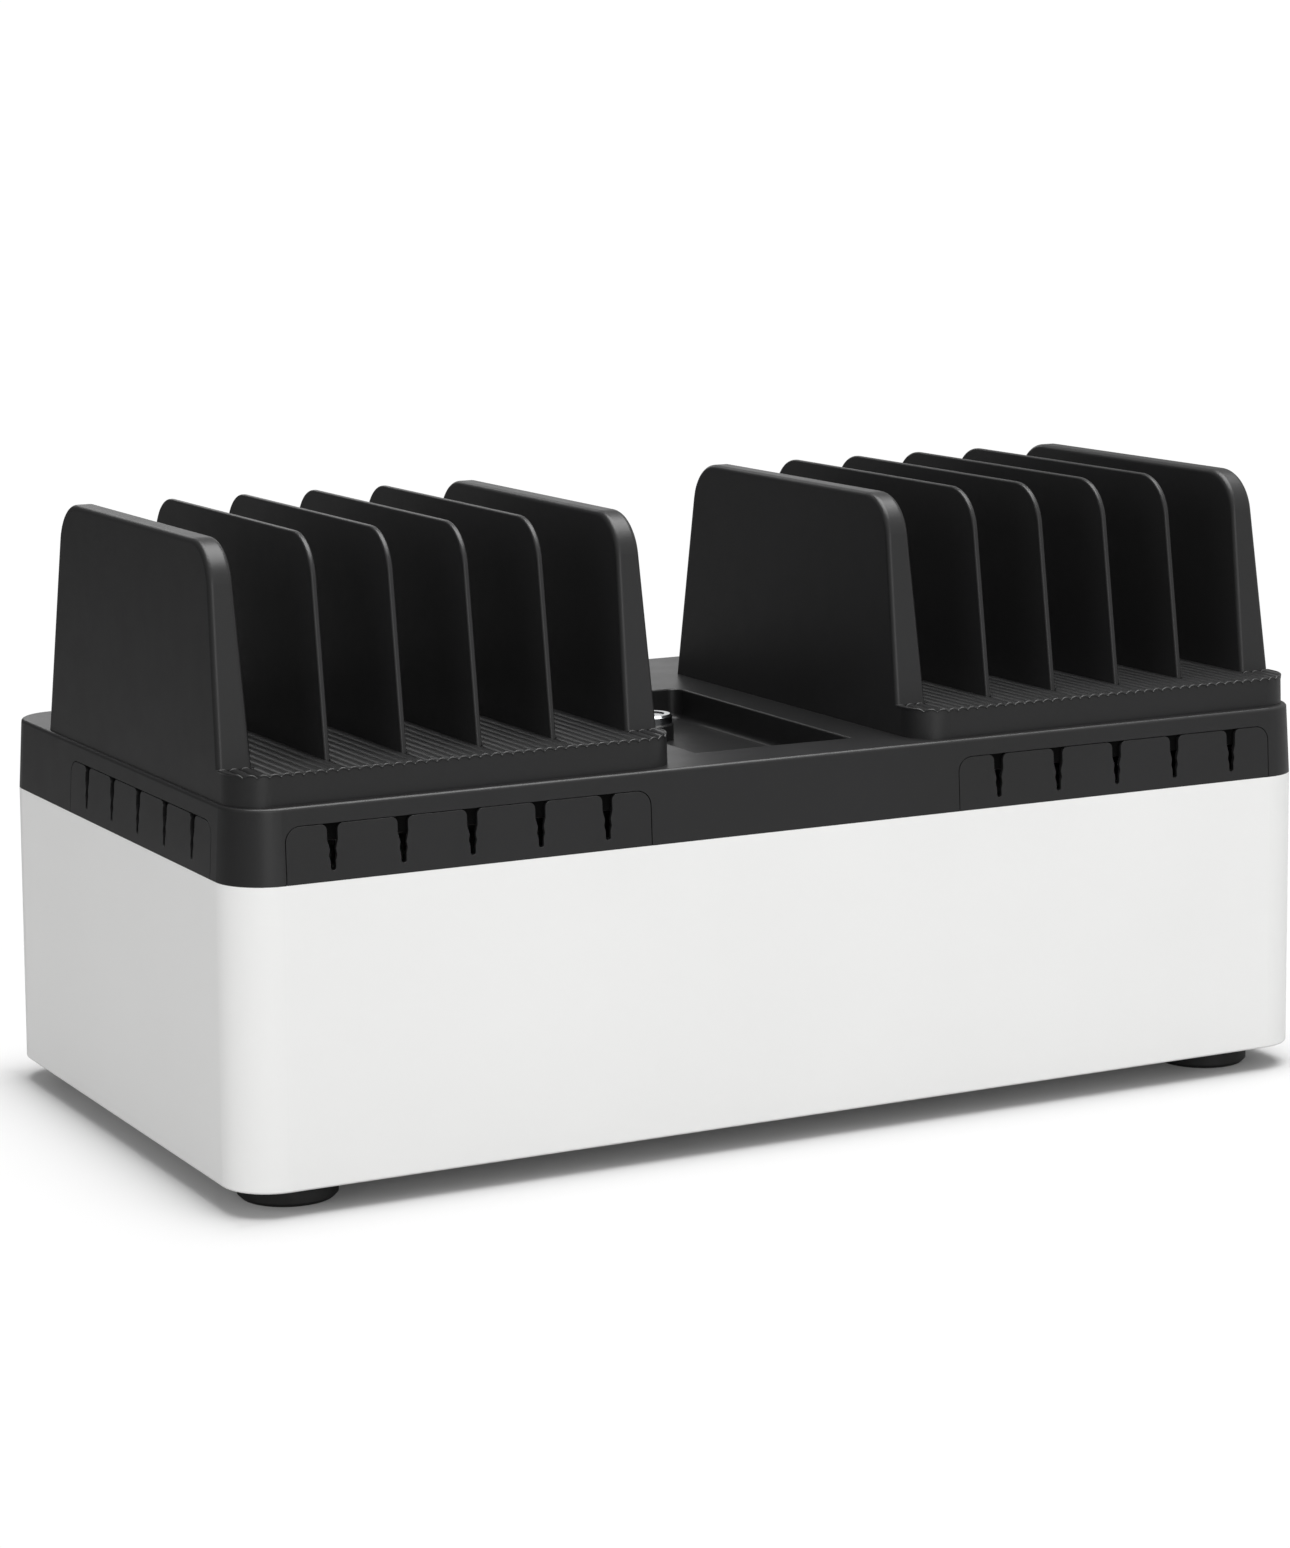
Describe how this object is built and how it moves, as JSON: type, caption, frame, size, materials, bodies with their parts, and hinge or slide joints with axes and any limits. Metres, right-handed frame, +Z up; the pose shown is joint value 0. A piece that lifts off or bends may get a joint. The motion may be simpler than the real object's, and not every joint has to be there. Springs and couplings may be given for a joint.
{
  "type": "charging station organizer",
  "caption": "Charging station organizer: white cable tub on round feet, black lift-off lid with racks of upright device slots, slotted cable combs and a central key lock.",
  "frame": {"origin": "middle of the footprint, on the plane under the feet", "axes": "+X along the front to the right, -Y out of the front, +Z up"},
  "size_m": [0.5, 0.264, 0.2582],
  "materials": {
    "white_plastic": "fine matt",
    "black_plastic": "satin",
    "strip_plastic": "matt",
    "foot_rubber": "matt",
    "lock_chrome": "bright",
    "zinc_steel": "zinc plated",
    "contact_brass": "plain",
    "red_plastic": "gloss",
    "cord_jacket": "matt"
  },
  "bodies": {
    "base": {"base_tub": "white_plastic", "foot_front_left": "foot_rubber", "foot_front_right": "foot_rubber", "foot_rear_left": "foot_rubber", "foot_rear_right": "foot_rubber", "comb_front_left": "black_plastic", "comb_front_right": "black_plastic", "comb_left_end": "black_plastic", "comb_right_end": "black_plastic", "front_strip_base": "strip_plastic", "front_strip_cover": "strip_plastic", "rear_strip_base": "strip_plastic", "rear_strip_cover": "strip_plastic", "front_live_bar": "contact_brass", "front_neutral_bar": "contact_brass", "front_earth_bar": "contact_brass", "rear_live_bar": "contact_brass", "rear_neutral_bar": "contact_brass", "rear_earth_bar": "contact_brass", "front_strip_lead": "cord_jacket", "rear_strip_lead": "cord_jacket", "foot_screws": "zinc_steel", "comb_screws": "zinc_steel", "strip_screws": "zinc_steel", "post_screws": "zinc_steel", "keeper_screws": "zinc_steel", "inlet_screws": "zinc_steel", "cover_screws": "zinc_steel", "power_inlet": "strip_plastic", "inlet_pins": "contact_brass", "switch_frame": "strip_plastic", "breaker_body": "strip_plastic", "terminal_cover": "strip_plastic", "lock_post": "strip_plastic", "keeper_plate": "zinc_steel"},
    "lid": {"lid_shell": "black_plastic", "left_rack": "black_plastic", "right_rack": "black_plastic", "left_divider_1": "black_plastic", "left_divider_2": "black_plastic", "left_divider_3": "black_plastic", "left_divider_4": "black_plastic", "right_divider_1": "black_plastic", "right_divider_2": "black_plastic", "right_divider_3": "black_plastic", "right_divider_4": "black_plastic", "rack_screws": "zinc_steel", "lock_barrel": "lock_chrome", "lock_skirt": "black_plastic", "lock_nut": "zinc_steel"},
    "lock_core": {"lock_plug": "lock_chrome", "lock_cam": "zinc_steel", "cam_screw": "zinc_steel"},
    "rocker": {"switch_rocker": "red_plastic"},
    "reset_button": {"reset_button": "red_plastic"}
  },
  "joints": [
    {"name": "lid_lift", "type": "slide", "parent": "base", "child": "lid", "axis": [0, 0, 1], "range_m": [0, 0.15]},
    {"name": "lock_turn", "type": "hinge", "parent": "lid", "child": "lock_core", "pos_m": [0, 0.004, 0.14], "axis": [0, 0, 1], "range_deg": [0, 90]},
    {"name": "rocker_tip", "type": "hinge", "parent": "base", "child": "rocker", "pos_m": [0.128, 0.1228, 0.075], "axis": [0, 0, -1], "range_deg": [0, 20]},
    {"name": "reset_press", "type": "slide", "parent": "base", "child": "reset_button", "axis": [0, -1, 0], "range_m": [0, 0.0025], "stiffness_N_per_m": 600, "springref_m": -0.002}
  ]
}
